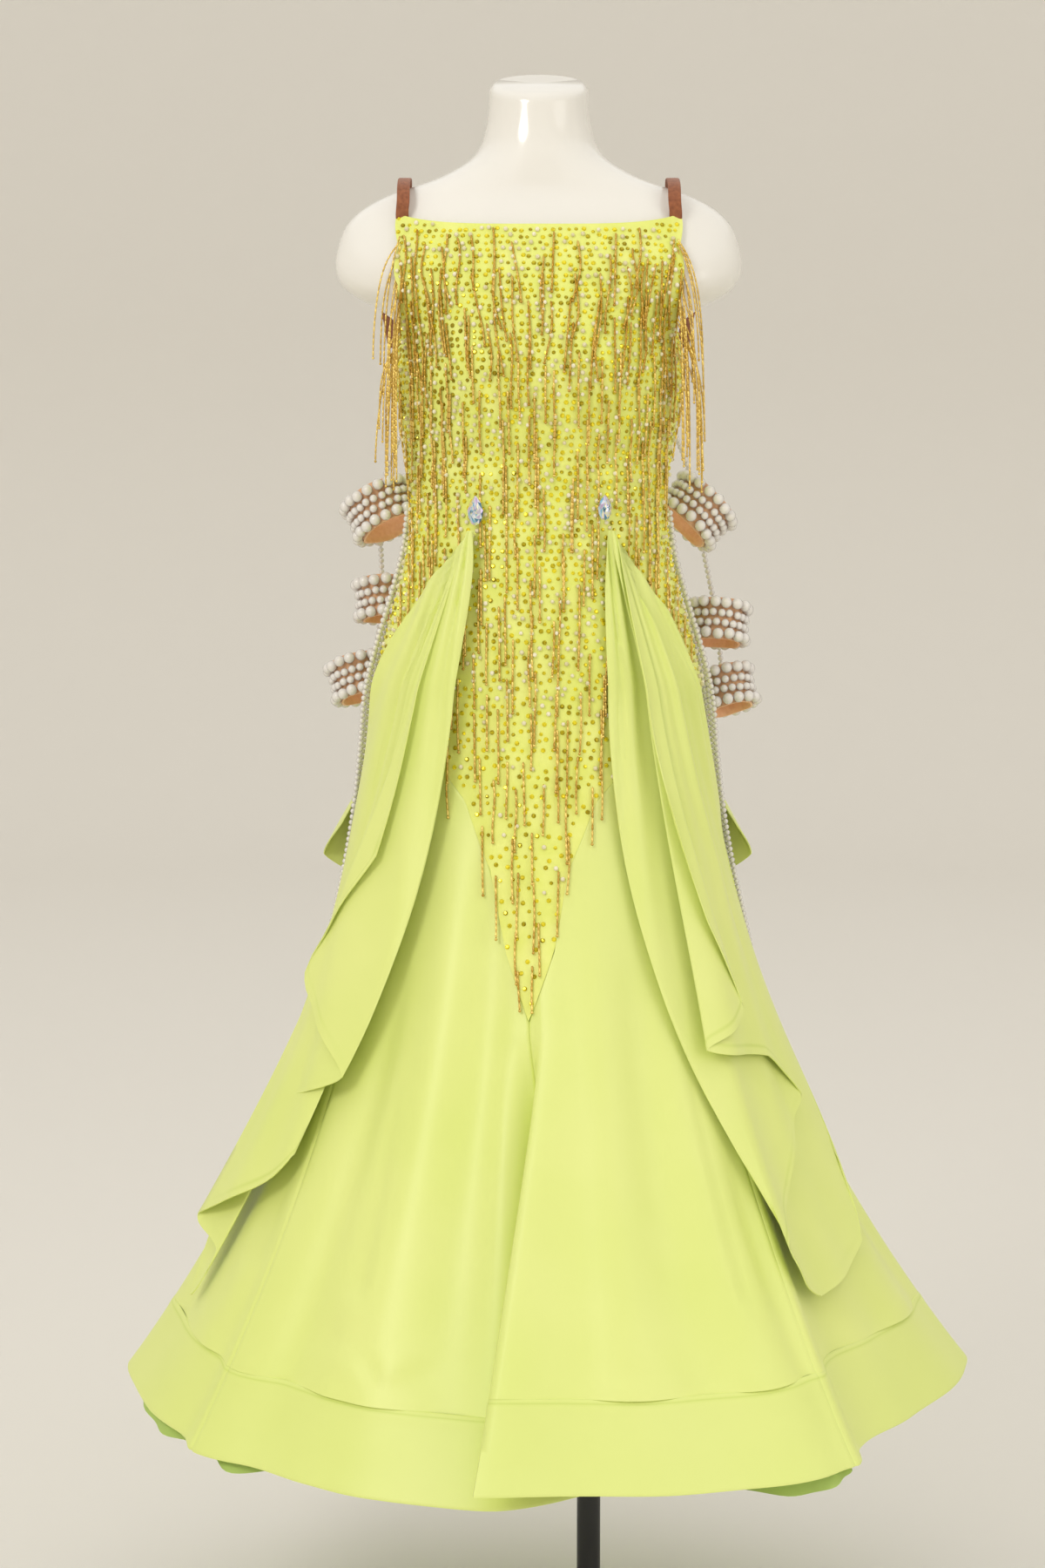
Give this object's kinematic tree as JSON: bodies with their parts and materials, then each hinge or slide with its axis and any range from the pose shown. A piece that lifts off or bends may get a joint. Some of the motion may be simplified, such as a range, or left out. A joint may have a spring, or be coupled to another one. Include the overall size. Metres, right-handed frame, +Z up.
{
  "type": "ballroom dance dress on a limbless dress form with a pole stand",
  "caption": "Sleeveless beaded ballroom dance dress with a flared gored satin skirt, side drapes and pearl armbands, on a limbless form with a pole stand.",
  "frame": {"origin": "middle of the base plate's underside, on the pole's axis", "axes": "+Z up; the dress faces -Y and its sides lie along X"},
  "size_m": [0.8996, 0.845, 1.6825],
  "materials": {
    "form_gloss": "smooth glossy warm white lacquer",
    "stand_black": "satin black powder coat",
    "stretch_bodice": "matte neon chartreuse stretch crepe",
    "beads_gold": "gold and copper lined glass bugle beads, citrine stones and small pearls",
    "strap_elastic": "brown ribbed elastic",
    "crystal": "faceted clear glass with a rainbow coating",
    "satin": "neon yellow-green satin, soft sheen",
    "cuff_elastic": "tan stretch fabric",
    "pearl": "ivory pearl lustre"
  },
  "bodies": {
    "root": {"form_torso": "form_gloss", "stand_pole": "stand_black", "stand_base": "stand_black", "bodice_front": "stretch_bodice", "bodice_back": "stretch_bodice", "bead_fringe": "beads_gold", "side_fringe_left": "beads_gold", "shoulder_strap_left": "strap_elastic", "crystal_left": "crystal", "side_fringe_right": "beads_gold", "shoulder_strap_right": "strap_elastic", "crystal_right": "crystal", "skirt_back_left": "satin", "hem_band_back_left": "satin", "skirt_side_left": "satin", "hem_band_side_left": "satin", "skirt_front_left": "satin", "hem_band_front_left": "satin", "skirt_front_right": "satin", "hem_band_front_right": "satin", "skirt_side_right": "satin", "hem_band_side_right": "satin", "skirt_back_right": "satin", "hem_band_back_right": "satin", "underskirt_back_left": "satin", "underskirt_front_left": "satin", "underskirt_front_right": "satin", "underskirt_back_right": "satin", "drape_left": "satin", "drape_right": "satin", "back_ruffle_left": "satin", "back_ruffle_right": "satin", "armband_left_1": "cuff_elastic", "armband_left_1_pearls": "pearl", "armband_left_2": "cuff_elastic", "armband_left_2_pearls": "pearl", "armband_left_3": "cuff_elastic", "armband_left_3_pearls": "pearl", "pearl_strand_left_long": "pearl", "pearl_strand_left_short": "pearl", "pearl_strand_left_link": "pearl", "armband_right_1": "cuff_elastic", "armband_right_1_pearls": "pearl", "armband_right_2": "cuff_elastic", "armband_right_2_pearls": "pearl", "armband_right_3": "cuff_elastic", "armband_right_3_pearls": "pearl", "pearl_strand_right_long": "pearl", "pearl_strand_right_short": "pearl", "pearl_strand_right_link": "pearl"}
  },
  "joints": []
}
